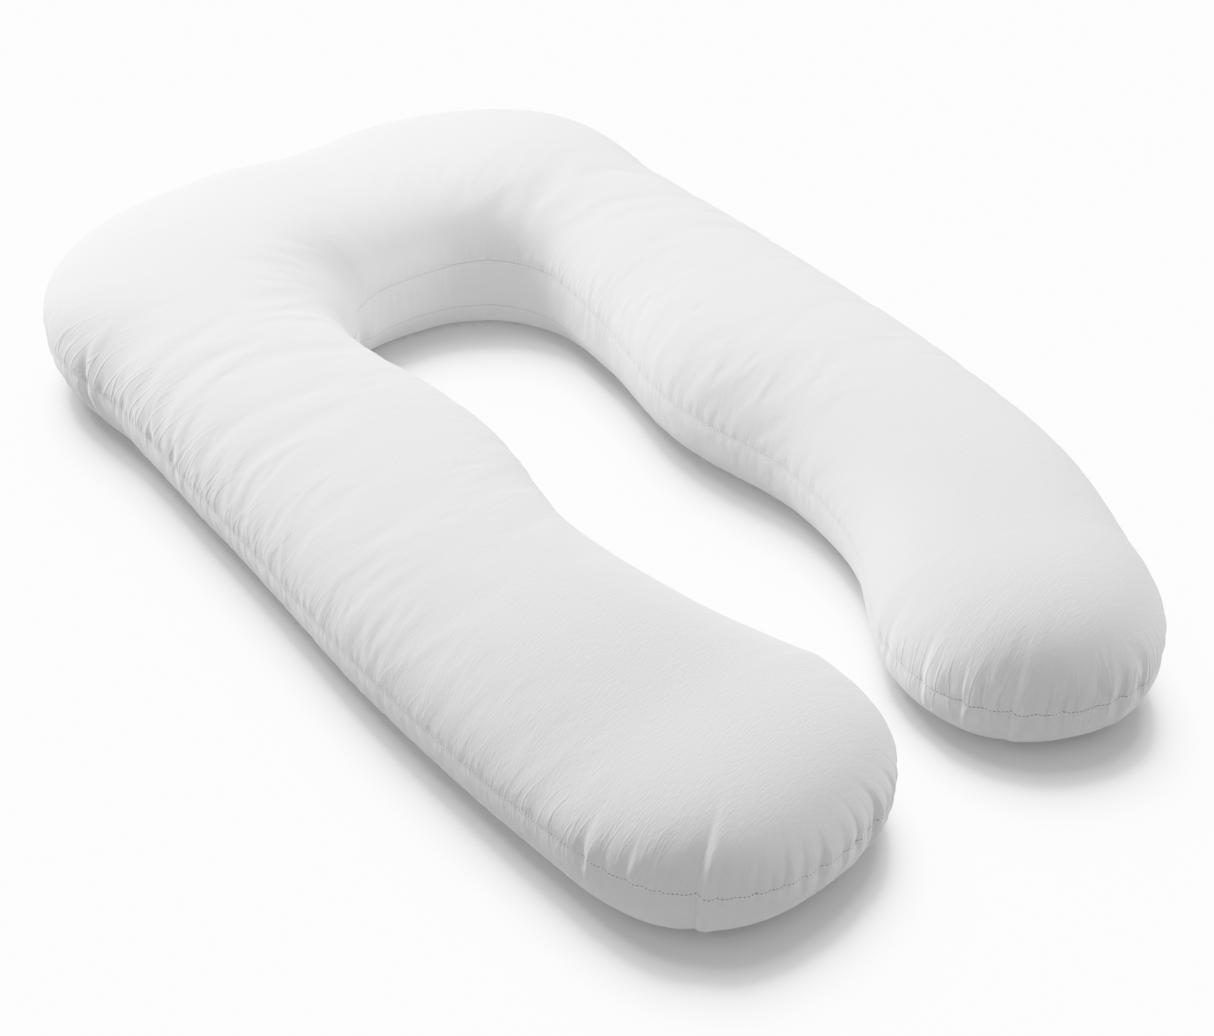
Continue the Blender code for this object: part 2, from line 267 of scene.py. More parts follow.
    def points(self, rings, crown_line):
        """All points in one list: the rings, then the crown line, then the line below it on the sole."""
        return np.vstack([rings.reshape(-1, 3), crown_line, crown_line * (1, 1, 0)])


def mesh_of(name, points, faces):
    """Smooth-shaded mesh from points and faces."""
    mesh = bpy.data.meshes.new(name)
    mesh.from_pydata(np.asarray(points).tolist(), [], faces)
    mesh.shade_smooth()
    return mesh


def put(name, data):
    """An object made of the given data, put into the scene."""
    made = bpy.data.objects.new(name, data)
    bpy.context.scene.collection.objects.link(made)
    return made


# How the spare cloth is gathered into the seam, read in a smooth line round the loop: how high the folds stand at
# the seam, how far they run up the panel, and how much they lean towards the head.
GATHERING = [
    # side      place  depth   reach  lean
    (OUTER,      0.0,  0.0009, 0.046, 0.20),
    (OUTER,      1.0,  0.0003, 0.050, 0.30),
    (OUTER,      2.0,  0.0003, 0.060, 0.35),
    (OUTER,      3.0,  0.0005, 0.080, 0.45),
    (OUTER,      4.2,  0.0010, 0.085, 0.55),
    (OUTER,      5.0,  0.0014, 0.090, 0.55),
    (OUTER,      5.8,  0.0014, 0.080, 0.30),
    (OUTER,      6.6,  0.0005, 0.060, 0.10),
    (OUTER,      8.0,  0.0002, 0.060, 0.00),
    (OUTER,     10.0,  0.0003, 0.060, 0.00),
    (OUTER,     11.5,  0.0007, 0.080, -0.20),
    (OUTER,     14.0,  0.0004, 0.070, -0.20),
    (OUTER,     16.0,  0.0010, 0.046, -0.10),
    (RIGHT_END,  0.3,  0.0030, 0.040, 0.00),
    (RIGHT_END,  0.7,  0.0030, 0.042, 0.00),
    (INNER,     16.0,  0.0014, 0.040, 0.00),
    (INNER,     14.6,  0.0003, 0.030, 0.00),
    (INNER,     13.0,  0.0004, 0.036, 0.20),
    (INNER,     11.6,  0.0010, 0.050, 0.30),
    (INNER,     10.4,  0.0004, 0.040, 0.10),
    (INNER,      9.0,  0.0001, 0.030, 0.00),
    (INNER,      6.6,  0.0001, 0.030, 0.00),
    (INNER,      5.2,  0.0004, 0.040, 0.00),
    (INNER,      3.5,  0.0006, 0.050, -0.10),
    (INNER,      1.5,  0.0004, 0.040, -0.10),
    (INNER,      0.0,  0.0014, 0.040, 0.00),
    (LEFT_END,   0.3,  0.0014, 0.040, 0.00),
    (LEFT_END,   0.7,  0.0010, 0.042, 0.00),
]
UNDER_REACH = 0.030        # the same folds die out faster over the bottom panel
LONG_FOLD = 0.6            # share of the gathers' depth in the folds that run up the panel
SHORT_FOLD = 0.8           # and in the short ones between them
VALLEY_SHARE = 0.7
FOLD_START = 0.25          # share of its height that a fold has right at the seam
FOLD_GROWTH = 0.008        # it gains the rest over about this distance, and less of it on the bottom panel
UNDER_GAIN = 0.35
LONG_RIDGES = (0.022, 0.070, 21)     # how far apart the folds are, how far they run, and the seed of their pattern
LONG_VALLEYS = (0.026, 0.065, 22)
SHORT_RIDGES = (0.012, 0.035, 23)
RIDGE_WIDTHS = (0.25, 0.22, 0.32)    # widths of these three, counted on the waves that lay them
SHORT_MEAN = 0.45          # taken off the short ones, so that they stand both out and in
SHORT_REACH = 0.55         # they run up this share of the gathers' reach

# Pleats: places where the cloth is caught double in the seam. The fold is steep on one side and soft on the other,
# and it spreads as it runs up the panel, with a low swell along its steep side.
PLEAT_SPREAD = 0.06
SWELL_SHARE = 0.2
SWELL_PLACE = 0.009
SWELL_REACH = 0.008
PLEATS = [
    # side      place  depth   up     down   soft    steep
    (LEFT_END,  0.749, 0.0092, 0.054, 0.120, 0.014, 0.0024),
    (LEFT_END,  0.640, 0.0034, 0.026, 0.010, 0.006, 0.0026),
    (LEFT_END,  0.585, 0.0040, 0.030, 0.010, 0.006, 0.0026),
    (LEFT_END,  0.515, 0.0052, 0.026, 0.030, 0.008, 0.0026),
    (LEFT_END,  0.455, 0.0040, 0.034, 0.012, 0.006, 0.0026),
    (LEFT_END,  0.398, 0.0076, 0.036, 0.050, 0.010, 0.0026),
    (LEFT_END,  0.330, 0.0042, 0.034, 0.016, 0.007, 0.0026),
    (LEFT_END,  0.820, 0.0024, 0.028, 0.012, 0.006, 0.0026),
    (LEFT_END,  0.883, 0.0034, 0.030, 0.020, 0.008, 0.0026),
    (LEFT_END,  0.965, 0.0034, 0.034, 0.014, 0.009, 0.0026),
    (LEFT_END,  0.925, 0.0026, 0.026, 0.020, 0.007, 0.0036),
    (LEFT_END,  0.852, 0.0024, 0.022, 0.024, 0.006, 0.0036),
    (LEFT_END,  0.788, 0.0020, 0.030, 0.016, 0.008, 0.0040),
    (LEFT_END,  0.712, 0.0030, 0.034, 0.010, 0.006, 0.0030),
    (LEFT_END,  0.676, 0.0026, 0.022, 0.018, 0.006, 0.0036),
    (LEFT_END,  0.612, 0.0030, 0.026, 0.026, 0.006, 0.0032),
    (LEFT_END,  0.550, 0.0030, 0.030, 0.022, 0.006, 0.0032),
    (LEFT_END,  0.484, 0.0030, 0.024, 0.022, 0.006, 0.0032),
    (LEFT_END,  0.425, 0.0030, 0.030, 0.020, 0.006, 0.0032),
    (LEFT_END,  0.365, 0.0030, 0.028, 0.024, 0.007, 0.0032),
    (LEFT_END,  0.295, 0.0026, 0.028, 0.020, 0.007, 0.0036),
    (LEFT_END,  0.250, 0.0024, 0.030, 0.020, 0.008, 0.0036),
    (RIGHT_END, 0.649, 0.0066, 0.040, 0.070, 0.013, 0.0026),
    (RIGHT_END, 0.595, 0.0028, 0.026, 0.012, 0.006, 0.0026),
    (RIGHT_END, 0.544, 0.0036, 0.028, 0.030, 0.008, 0.0026),
    (RIGHT_END, 0.485, 0.0028, 0.026, 0.012, 0.006, 0.0026),
    (RIGHT_END, 0.427, 0.0046, 0.032, 0.040, 0.009, 0.0026),
    (RIGHT_END, 0.365, 0.0030, 0.032, 0.012, 0.007, 0.0026),
    (RIGHT_END, 0.705, 0.0030, 0.034, 0.014, 0.007, 0.0026),
    (RIGHT_END, 0.760, 0.0042, 0.038, 0.030, 0.010, 0.0026),
    (RIGHT_END, 0.860, 0.0038, 0.044, 0.020, 0.010, 0.0026),
    (RIGHT_END, 0.965, 0.0032, 0.044, 0.014, 0.009, 0.0026),
    (OUTER,     5.341, 0.0042, 0.050, 0.050, 0.009, 0.0026),
    (OUTER,     5.700, 0.0030, 0.045, 0.030, 0.008, 0.0026),
    (OUTER,     4.620, 0.0024, 0.060, 0.016, 0.008, 0.0030),
    (OUTER,     4.300, 0.0020, 0.060, 0.014, 0.008, 0.0030),
]

# Creases: long soft troughs in the top panel. Each runs between two points as seen from above and bows to its left.
CREASES = [
    # x0, y0, x1, y1, bow, depth, width
    # The bend's inner left corner, where the panel dips, and its fan over the top of the leg and of the head
    (-0.085, 0.385, -0.190, 0.335, 0.006, 0.0090, 0.036),
    (-0.112, 0.366, -0.245, 0.300, 0.012, 0.0038, 0.016),
    (-0.122, 0.360, -0.222, 0.346, 0.014, 0.0020, 0.009),
    (-0.118, 0.366, -0.205, 0.362, 0.012, 0.0014, 0.007),
    (-0.110, 0.372, -0.198, 0.384, 0.012, 0.0021, 0.009),
    (-0.104, 0.378, -0.180, 0.404, 0.008, 0.0016, 0.007),
    (-0.096, 0.380, -0.156, 0.424, 0.002, 0.0021, 0.009),
    (-0.070, 0.384, -0.110, 0.432, 0.002, 0.0012, 0.008),
    (-0.035, 0.386, -0.060, 0.424, 0.000, 0.0010, 0.008),
    (-0.138, 0.318, -0.228, 0.282, 0.008, 0.0016, 0.009),
    (-0.150, 0.272, -0.262, 0.286, 0.002, 0.0014, 0.009),
    (-0.165, 0.232, -0.275, 0.264, -0.004, 0.0011, 0.011),
    (-0.185, 0.164, -0.372, 0.204, -0.011, 0.0014, 0.015),
    (-0.280, 0.228, -0.410, 0.250, -0.002, 0.0018, 0.012),
    (-0.270, 0.300, -0.400, 0.300, 0.010, 0.0014, 0.012),
    (-0.235, 0.108, -0.408, 0.148, 0.009, 0.0014, 0.015),
    (-0.250, 0.066, -0.400, 0.080, 0.010, 0.0009, 0.012),
    # Soft waves across the left leg, and short ones over its inner side
    (-0.240, 0.020, -0.412, 0.016, 0.019, 0.0004, 0.016),
    (-0.260, -0.040, -0.410, -0.054, 0.016, 0.0002, 0.014),
    (-0.244, -0.114, -0.412, -0.120, 0.020, 0.0004, 0.017),
    (-0.270, -0.190, -0.412, -0.196, 0.020, 0.0002, 0.014),
    (-0.258, -0.264, -0.415, -0.256, 0.024, 0.0004, 0.017),
    (-0.152, -0.180, -0.258, -0.222, 0.015, 0.0004, 0.013),
    (-0.150, -0.120, -0.230, -0.150, 0.010, 0.0002, 0.011),
    (-0.165, -0.286, -0.244, -0.262, 0.011, 0.0004, 0.013),
    # Fan over the right bend, and the kink where the right leg leaves the head
    (0.108, 0.350, 0.150, 0.382, -0.004, 0.0010, 0.010),
    (0.128, 0.324, 0.210, 0.372, -0.006, 0.0013, 0.013),
    (0.170, 0.332, 0.262, 0.404, -0.006, 0.0011, 0.014),
    (0.370, 0.262, 0.240, 0.348, -0.022, 0.0023, 0.015),
    (0.365, 0.222, 0.188, 0.270, -0.014, 0.0013, 0.013),
    (0.365, 0.168, 0.202, 0.238, -0.023, 0.0014, 0.014),
    # Waves across the outer half of the right leg
    (0.385, 0.120, 0.205, 0.164, -0.018, 0.0006, 0.015),
    (0.385, 0.036, 0.228, 0.045, -0.018, 0.0005, 0.016),
    (0.385, -0.086, 0.226, -0.092, -0.024, 0.0005, 0.016),
    (0.370, -0.190, 0.166, -0.190, -0.032, 0.0005, 0.016),
    (0.150, -0.214, 0.215, -0.222, 0.004, 0.0003, 0.012),
]


def crease_depth(points):
    """Depth of the creases: a bell shape across each bowed line seen from above, tapered towards its ends."""
    depth = np.zeros(points.shape[:-1])
    for x0, y0, x1, y1, bow, deep, width in CREASES:
        run = np.array([x1 - x0, y1 - y0])
        length = np.hypot(*run)
        from_start = points[..., :2] - (x0, y0)
        share = np.clip(from_start @ run / length ** 2, 0, 1)
        beside = (from_start @ (-run[1], run[0])) / length - 4 * bow * share * (1 - share)
        beyond = from_start @ run / length - share * length
        taper = np.sqrt(np.sin(share * np.pi))
        depth += deep * taper * np.exp(-(beside ** 2 + beyond ** 2) / width ** 2)
    return depth


def gathering(skin):
    """Depth, reach and lean of the gathers at each point of the loop, read between the rows of GATHERING."""
    rows = np.array(GATHERING)
    arcs = np.array([skin.arc_at(side, place) for side, place in rows[:, :2]])
    order = np.argsort(arcs)
    return [np.interp(skin.arc, arcs[order], column[order], period=skin.round) for column in rows[:, 2:].T]


def ripples(skin, pitch, reach, seed, lean=0.0):
    """Random waves, pitch apart round the loop and drawn out to reach along the section, mostly between -1 and 1:
    random values on rows of points, joined by soft steps along a row and from row to row."""
    random = np.random.default_rng(seed)
    count = int(skin.round / pitch)
    low = skin.height.min()
    bands = int((skin.height.max() - low) / reach) + 4
    nodes = random.normal(0, 0.6, (bands, count))
    shift = random.uniform(0, 1, bands)[:, None]
    arc = (skin.arc + lean * np.maximum(skin.height, 0)) / skin.round % 1 * count
    high = (skin.height - low) / reach
    j = np.floor(high).astype(int)
    u = high - j
    u = u * u * (3 - 2 * u)

    def row(number):
        """Values along one row of points."""
        place = arc + shift[number, 0]
        i = np.floor(place).astype(int)
        t = place - i
        t = t * t * (3 - 2 * t)
        return nodes[number, i % count] * (1 - t) + nodes[number, (i + 1) % count] * t

    return row(j) * (1 - u) + row(j + 1) * u


def ridges(waves, width):
    """Narrow ridges where the waves change sign, 1 on the ridge and falling to 0 beside it."""
    return 1 / (1 + (waves / width) ** 2)


def gathers(skin):
    """Height of the gathers: narrow ridges and valleys across the seam that join as they run up the panel."""
    depth, reach, lean = gathering(skin)
    up = np.maximum(skin.height, 0)
    over = np.exp(-(up / reach) ** 2) * (FOLD_START + (1 - FOLD_START) * (1 - np.exp(-up / FOLD_GROWTH)))
    under = np.exp(skin.height / UNDER_REACH) * (FOLD_START + UNDER_GAIN * (1 - np.exp(skin.height / FOLD_GROWTH)))
    long_ridges, long_valleys, short_ridges = [
        ridges(ripples(skin, *pattern, lean), width)
        for pattern, width in zip((LONG_RIDGES, LONG_VALLEYS, SHORT_RIDGES), RIDGE_WIDTHS)]
    low = np.exp(-(up / (SHORT_REACH * reach)) ** 2)
    folds = LONG_FOLD * (long_ridges - VALLEY_SHARE * long_valleys) + SHORT_FOLD * (short_ridges - SHORT_MEAN) * low
    return depth * np.where(skin.height >= 0, over, under) * folds


def pleat_depth(skin):
    """Depth of the pleats: soft on one side of the fold line, steep on the other, fading up and down the panels."""
    total = np.zeros(skin.height.shape)
    for side, place, depth, up, down, soft, steep in PLEATS:
        beside = (skin.arc - skin.arc_at(side, place) + skin.round / 2) % skin.round - skin.round / 2
        beside = beside[None, :] + np.zeros_like(skin.height)
        width = np.where(beside > 0, soft, steep) * (1 + np.maximum(skin.height, 0) / PLEAT_SPREAD)
        fade = np.where(skin.height >= 0, np.exp(-(skin.height / up) ** 2), np.exp(-(skin.height / down) ** 2))
        swell = SWELL_SHARE * np.exp(-((beside + SWELL_PLACE) / SWELL_REACH) ** 2)
        total += depth * fade * (np.exp(-np.abs(beside) / width) - swell)
    return total


# Local shifts of the sewn shape, seen from above: the corner of the band stands out into the bend, and the leg's
# inner side falls back below it.
SHIFTS = [
    # x       y       dx      dy      radius
    (-0.126,  0.342,  0.027, -0.013,  0.058),
    (-0.138,  0.200, -0.009, -0.002,  0.060),
]
SOFT_CORNER = (-0.128, 0.350, 0.085)     # x, y and reach of the rounding of the band's corner
SOFT_WIDTH = 0.055                       # length along the seam that is averaged there
CALM_CORNER = (-0.118, 0.362, 0.040)     # x, y and reach of a further smoothing over both directions
CALM_WIDTH = 0.060


def near(points, x, y, reach, power=1):
    """1 at a place seen from above, falling to 0 beyond reach in a bell shape, steeper with a higher power."""
    return np.exp(-(np.sum((points[..., :2] - (x, y)) ** 2, axis=-1) / reach ** 2) ** power)


def round_blur(values, steps):
    """Values averaged round the loop with a bell-shaped weight, steps points wide."""
    rate = np.fft.rfftfreq(values.shape[1])
    weight = np.exp(-2 * (np.pi * rate * steps) ** 2).reshape((1, -1) + (1,) * (values.ndim - 2))
    return np.fft.irfft(np.fft.rfft(values, axis=1) * weight, values.shape[1], axis=1)


def calmed(rings, spacing):
    """Rings averaged with their neighbours, again and again, where the panel folds tightly over the band's corner."""
    inside = near(rings, *CALM_CORNER, power=2)[1:-1, :, None] * (rings[1:-1, :, 2:] > 0)
    for _ in range(int(CALM_WIDTH / spacing)):
        beside = np.roll(rings, 1, axis=1)[1:-1] + np.roll(rings, -1, axis=1)[1:-1]
        around = (rings[2:] + rings[:-2] + beside) / 4
        rings[1:-1] += (around - rings[1:-1]) * inside
    return rings


def shifted(points):
    """Points moved sideways by each shift, most at its middle and falling off in a bell shape."""
    moved = points.copy()
    for x, y, dx, dy, radius in SHIFTS:
        share = near(points, x, y, radius)
        moved[..., 0] += dx * share
        moved[..., 1] += dy * share
    return moved


# Band: sewn to the bottom panel by a lower seam, where it stands out a little, and below which the panel falls back
LOWER_SEAM = 0.040             # height above the floor
LOWER_PROUD = 0.004
LOWER_REACH = 0.016
FOOT_BACK = 0.009
BAND_ENDS = (5.4, 12.6)        # places on the inner side, counted in sections
BAND_FADES = (0.5, 0.8)


def band_share(skin):
    """1 along the band on the inner side of the bend, falling to 0 at its two ends."""
    start = np.clip((skin.place - BAND_ENDS[0]) / BAND_FADES[0], 0, 1)
    end = np.clip((BAND_ENDS[1] - skin.place) / BAND_FADES[1], 0, 1)
    return np.where(skin.sides == INNER, start * end, 0.0)


SEAM_DRAW = 0.0016
SEAM_VALLEY = 0.009
BAND_LEVEL = 3             # the band's direction is taken this many levels below the seam


def pressed(skin):
    """The skin with its seam drawn in, its creases pressed and its lower seam stood out, and its crown line."""
    depth = SEAM_DRAW * np.exp(-(skin.height / SEAM_VALLEY) ** 2)
    depth[:skin.seam_level] += crease_depth(skin.rings[:skin.seam_level])
    below = skin.height < 0
    tall = skin.rings[..., 2]
    foot = len(depth) - skin.sole_levels - 1
    depth -= LOWER_PROUD * band_share(skin) * below * np.exp(-((tall - LOWER_SEAM) / LOWER_REACH) ** 2)
    depth[foot:] = 0
    rings = skin.rings - skin.outward() * depth[..., None]
    fall = FOOT_BACK * band_share(skin) * np.clip(1 - tall[:foot + 1] / LOWER_SEAM, 0, 1)
    rings[:foot + 1, :, :2] -= fall[..., None] * skin.outward()[skin.seam_level + BAND_LEVEL, :, :2]
    share = near(rings, *SOFT_CORNER)[..., None]
    spacing = skin.round / len(skin.core)
    rings = rings * (1 - share) + round_blur(rings, SOFT_WIDTH / spacing) * share
    rings = shifted(calmed(rings, spacing))
    rings[foot:, :, 2] = 0
    crown_line = skin.crown_line.copy()
    crown_line[:, 2] -= crease_depth(crown_line)
    return rings, shifted(crown_line)


# The panels are filled on a coarser grid of the same skin: cloth a little larger than the panel, held at the seam
# and on the floor, is blown out from inside until its spare width wrinkles.
FILL_FRAMES = 14
SPARE_CLOTH = 0.03
FILL_PRESSURE = 4.0
START_FOLDS = 0.5          # share of the gathers that the cloth has before it is filled
SWELL_WIDTH = 6            # points of the coarse loop: a wider swelling than this is taken off again
FOLD_CAP = 0.0004          # the wrinkles left by the filling stand no higher than this

coarse = Skin(stations=400, steps=80, top_shares=np.linspace(0, 1, 26)[:-1], low_shares=np.linspace(0, 1, 10)[1:],
              sole_shares=np.array([0.5]))
start_rings, start_line = pressed(coarse)
start_rings = start_rings + coarse.outward(start_rings) * (START_FOLDS * gathers(coarse))[..., None]
start_rings[-coarse.sole_levels - 1:, :, 2] = 0
start = coarse.points(start_rings, start_line)
shell = put("filling", mesh_of("filling", start, coarse.faces()))
loop = len(coarse.core)
sole_start = (len(coarse.rings) - coarse.sole_levels - 1) * loop
lines_start = len(coarse.rings) * loop
held = np.concatenate([coarse.seam_level * loop + np.arange(loop), np.arange(sole_start, lines_start),
                       np.arange(lines_start + len(start_line), len(start))])
sewn = shell.vertex_groups.new(name="sewn")
sewn.add(held.tolist(), 1.0, "REPLACE")
filling = shell.modifiers.new("filling", "CLOTH")
filling.settings.quality = 5
filling.settings.use_pressure = True
filling.settings.uniform_pressure_force = FILL_PRESSURE
filling.settings.vertex_group_mass = "sewn"
filling.settings.shrink_min = -SPARE_CLOTH
filling.settings.effector_weights.gravity = 0.0
filling.collision_settings.use_collision = False
for number in range(1, FILL_FRAMES + 1):
    bpy.context.scene.frame_set(number)
filled = np.empty(len(start) * 3, dtype=np.float32)
shell.evaluated_get(bpy.context.evaluated_depsgraph_get()).data.vertices.foreach_get("co", filled)
bpy.context.scene.frame_set(1)
bpy.data.objects.remove(shell)
move = (filled.reshape(-1, 3) - start)[:lines_start].reshape(coarse.rings.shape)
out = np.sum(move * coarse.outward(start_rings), axis=2)
wrinkle = out - round_blur(out, SWELL_WIDTH)
wrinkle = FOLD_CAP * np.tanh(wrinkle / FOLD_CAP)


def refine(values, finer):
    """Values on the coarse grid read on the finer grid, in smooth curves along the levels and round the loop."""
    top = np.zeros(len(coarse.crown_line))
    np.add.at(top, coarse.core, values[0] / 2)
    rows = np.concatenate([top[coarse.core][None], values])
    rows = smooth_rows(np.concatenate([[-1.0], -coarse.level_way]), rows, -finer.level_way).T
    way = np.concatenate([coarse.way[-3:] - 4, coarse.way, coarse.way[:3] + 4])
    return smooth_rows(way, np.concatenate([rows[-3:], rows, rows[:3]]), finer.way).T


# The cover itself, on a fine grid: the folds, the wrinkles left by the filling and the pleats, added along the
# outward direction. They fade towards the crown line, towards the middle of the leg ends and on the sole.
LUMPS = (0.0004, 0.0002)       # height of the filling's soft unevenness, wide and narrow
WIDE_LUMPS = (0.085, 0.120, 11)
NARROW_LUMPS = (0.045, 0.110, 12)
FAINT_RIDGES = (0.020, 0.080, 13)
FAINT_HEIGHT = 0.0002
FAINT_LEAN = 0.3
FAINT_WIDTH = 0.3
FAINT_MEAN = 0.4
SEAM_CLEAR = 0.020             # the lumps begin this far from the seam
CROWN_FADE = 0.35              # folds fade out over this last share of the way up to the crown
TIP_CLEAR = 0.03               # and there are none this near an end of the crown line
TIP_FADE = 0.09
CALM_FROM = -0.20              # beyond this y the legs lie smoother, over the next CALM_OVER metres
CALM_OVER = 0.16
CALM_SHARE = 0.65

fine = Skin(stations=960, steps=260,
            top_shares=np.concatenate([[0.0, 0.008, 0.021, 0.041, 0.069], np.linspace(0.106, 0.968, 21)]),
            low_shares=np.array([0.016, 0.045, 0.09, 0.15, 0.23, 0.33, 0.45, 0.60, 0.79, 1.0]),
            sole_shares=np.array([0.5]))
rings, crown_line = pressed(fine)
smooth_top = rings[0, :, 2].copy()
flat = np.ones(fine.height.shape)
flat[-fine.sole_levels - 2:] = 0
flat[-fine.sole_levels - 3] = 0.5
tips = np.stack([crown_line[0], crown_line[-1]])[:, :2]
from_tip = np.linalg.norm(rings[None, ..., :2] - tips[:, None, None], axis=-1).min(0)
crown_fade = np.clip((1 - fine.level_way) / CROWN_FADE, 0, 1)[:, None] ** 0.5
crown_fade = crown_fade * np.clip((from_tip - TIP_CLEAR) / TIP_FADE, 0, 1) ** 2
lumps = LUMPS[0] * ripples(fine, *WIDE_LUMPS) + LUMPS[1] * ripples(fine, *NARROW_LUMPS, FAINT_LEAN)
faint = FAINT_HEIGHT * (ridges(ripples(fine, *FAINT_RIDGES, FAINT_LEAN), FAINT_WIDTH) - FAINT_MEAN)
off_seam = 1 - np.exp(-(fine.height / SEAM_CLEAR) ** 2)
quiet = 1 - CALM_SHARE * np.clip((CALM_FROM - rings[..., 1]) / CALM_OVER, 0, 1)
uneven = (refine(wrinkle, fine) + (lumps + faint) * off_seam) * quiet
push = (uneven + gathers(fine)) * crown_fade - pleat_depth(fine)
rings = rings + fine.outward(rings) * (push * flat)[..., None]
rings[..., 2] = np.maximum(rings[..., 2], 0)
lift = np.zeros(len(crown_line))
np.add.at(lift, fine.core, (rings[0, :, 2] - smooth_top) / 2)
crown_line[:, 2] += lift

cover = put("pregnancy_pillow_cover",
            mesh_of("pregnancy_pillow_cover", fine.points(rings, crown_line), fine.faces()))

# Marks on the cover's points: the band, so that the painted shade line along its lower seam is drawn only there, and
# how creased the cloth is
FULL_CREASE = 0.0014           # gathers this deep are fully creased
CREASE_REACH = 0.85            # the creases run up this share of the gathers' reach, and UNDER_CREASE below the seam
UNDER_CREASE = 0.02
BAND_TOP = 0.02                # the mark of the band begins this far below the seam

on_lines = np.zeros(2 * len(crown_line))    # nothing on the crown line and on the line below it
gather_depth, gather_reach, gather_lean = gathering(fine)
run_out = np.where(fine.height >= 0, np.exp(-(fine.height / (CREASE_REACH * gather_reach)) ** 2),
                   np.exp(fine.height / UNDER_CREASE))
for name, values in (("band", np.where(fine.height < -BAND_TOP, band_share(fine), 0.0)),
                     ("creased", gather_depth / FULL_CREASE * run_out * crown_fade)):
    mark = cover.data.attributes.new(name, "FLOAT", "POINT")
    mark.data.foreach_set("value", np.concatenate([values.ravel(), on_lines]).astype(np.float32))

# Seam map of the cover: metres round the seam, leaning as the gathers lean, and metres above or below it. Along the
# crown line, and where the loop closes, a face's corners are brought to one side, so that no face is torn.
CROWN_TALL = 0.2               # height above the seam that the map gives the crown line, and the line on the sole
SOLE_TALL = -0.3


def whole_numbers(items, name):
    """The named whole number of each item of a mesh."""
    values = np.empty(len(items), dtype=np.int64)
    items.foreach_get(name, values)
    return values


loop = len(fine.core)
line = len(fine.rings) * loop
corners = whole_numbers(cover.data.loops, "vertex_index")
starts = whole_numbers(cover.data.polygons, "loop_start")
totals = whole_numbers(cover.data.polygons, "loop_total")
from_crown = np.concatenate([np.zeros((1, loop)), np.cumsum(np.linalg.norm(np.diff(rings, axis=0), axis=2), axis=0)])
above_seam = from_crown[fine.seam_level] - from_crown
arc = np.concatenate([np.tile(fine.arc, len(fine.rings)), on_lines])[corners]
lean = np.concatenate([np.tile(gather_lean, len(fine.rings)), on_lines])[corners]
tall = np.concatenate([above_seam.ravel(), np.repeat([CROWN_TALL, SOLE_TALL], len(crown_line))])[corners]
face = np.repeat(np.arange(len(starts)), totals)
low_arc = np.full(len(starts), np.inf)
high_arc = np.full(len(starts), -np.inf)
np.minimum.at(low_arc, face[corners < line], arc[corners < line])
np.maximum.at(high_arc, face[corners < line], arc[corners < line])
arc = np.where(corners >= line, high_arc[face], arc)
wraps = (high_arc - low_arc > fine.round / 2)[face] & (arc < fine.round / 2)
arc = np.where(wraps, arc + fine.round, arc)
seam_map = cover.data.uv_layers.new(name="seam")
seam_map.uv.foreach_set("vector", np.column_stack([arc + lean * np.maximum(tall, 0), tall]).astype(np.float32).ravel())


class Graph:
    """Short way to add nodes to a material or a world: each call returns the new node's chosen output."""

    def __init__(self, owner, shader="Principled BSDF"):
        owner.use_nodes = True
        self.tree = owner.node_tree
        self.shader = self.tree.nodes[shader]

    def node(self, kind, inputs=(), output=0, **settings):
        """A node of the given kind, with its settings made and its inputs set or linked."""
        made = self.tree.nodes.new("ShaderNode" + kind)
        for name, value in settings.items():
            setattr(made, name, value)
        self.give(made, inputs)
        return made.outputs[output]

    def give(self, node, inputs):
        """A node's inputs set to values, or linked where an output is given."""
        for key, value in dict(inputs).items():
            if hasattr(value, "is_linked"):
                self.tree.links.new(value, node.inputs[key])
            else:
                node.inputs[key].default_value = value

    def maths(self, operation, first, second=0.0, third=0.0):
        """One sum on up to three values."""
        return self.node("Math", {0: first, 1: second, 2: third}, operation=operation)

    def apart(self, first, second):
        """How far two values are from each other."""
        return self.maths("ABSOLUTE", self.maths("SUBTRACT", first, second))

    def fade(self, value, start, end, first=1.0, last=0.0, **settings):
        """Goes from first, where the value is below start, to last, where it is above end."""
        return self.node("MapRange", {"Value": value, "From Min": start, "From Max": end, "To Min": first,
                                      "To Max": last}, **settings)

    def mixed(self, share, first, second):
        """Colour between the first and the second."""
        return self.node("MixRGB", {"Fac": share, "Color1": first, "Color2": second})


# Finish of the cloth, in metres: twill ribs with a brushed nap over them, a row of needle holes just above the edge
# with painted shade in them, the pressed lip of the cloth below it with a painted highlight along it, a painted shade
# line along the band's lower seam, and the small puckers and creases that the sewing draws.
STITCH_PITCH = 0.0042
STITCH_LINE = 0.0010           # the stitches run this far above the seam's edge, in the top panel
HOLE_EDGES = (0.0004, 0.0011)  # half height of a hole's dark middle and of its rim
HOLE_SPAN = (0.2, 0.75)        # and its span along the row, counted on a wave that is 0 at each hole
HOLE_SHARES = (0.9, 0.2)       # how dark the row is at a hole and between two
HOLE_DEPTH = 0.0008
LIP_LINE = 0.0010              # the lip lies this far below the seam's edge
LIP_WIDTH = 0.0014
LIP_HEIGHT = 0.0006
# strength of the painted highlight along the lip
LIP_HIGHLIGHT_SHARE = 0.85
# the lower seam is drawn as a line of painted shade, on the band only
LOWER_LINE = (0.0003, 0.0013)  # half height of the lower seam's line and of its rim
LOWER_SHARE = 0.5
PUCKER_SIZE = (0.006, 0.030)   # along the seam and up from it
PUCKER_REACH = (0.001, 0.030)
PUCKER_HEIGHT = 0.0007
CREASE_SIZE = (0.017, 0.120)
CREASE_WIDTH = 0.06            # counted on the noise that lays them
CREASE_HEIGHT = 0.0007
TWILL_TURN = np.radians(12.0)
TWILL_PITCH = 0.0018
TWILL_LENGTH = 0.0080
RIB_HEIGHT = 0.00038
NAP_SCALE = 900.0
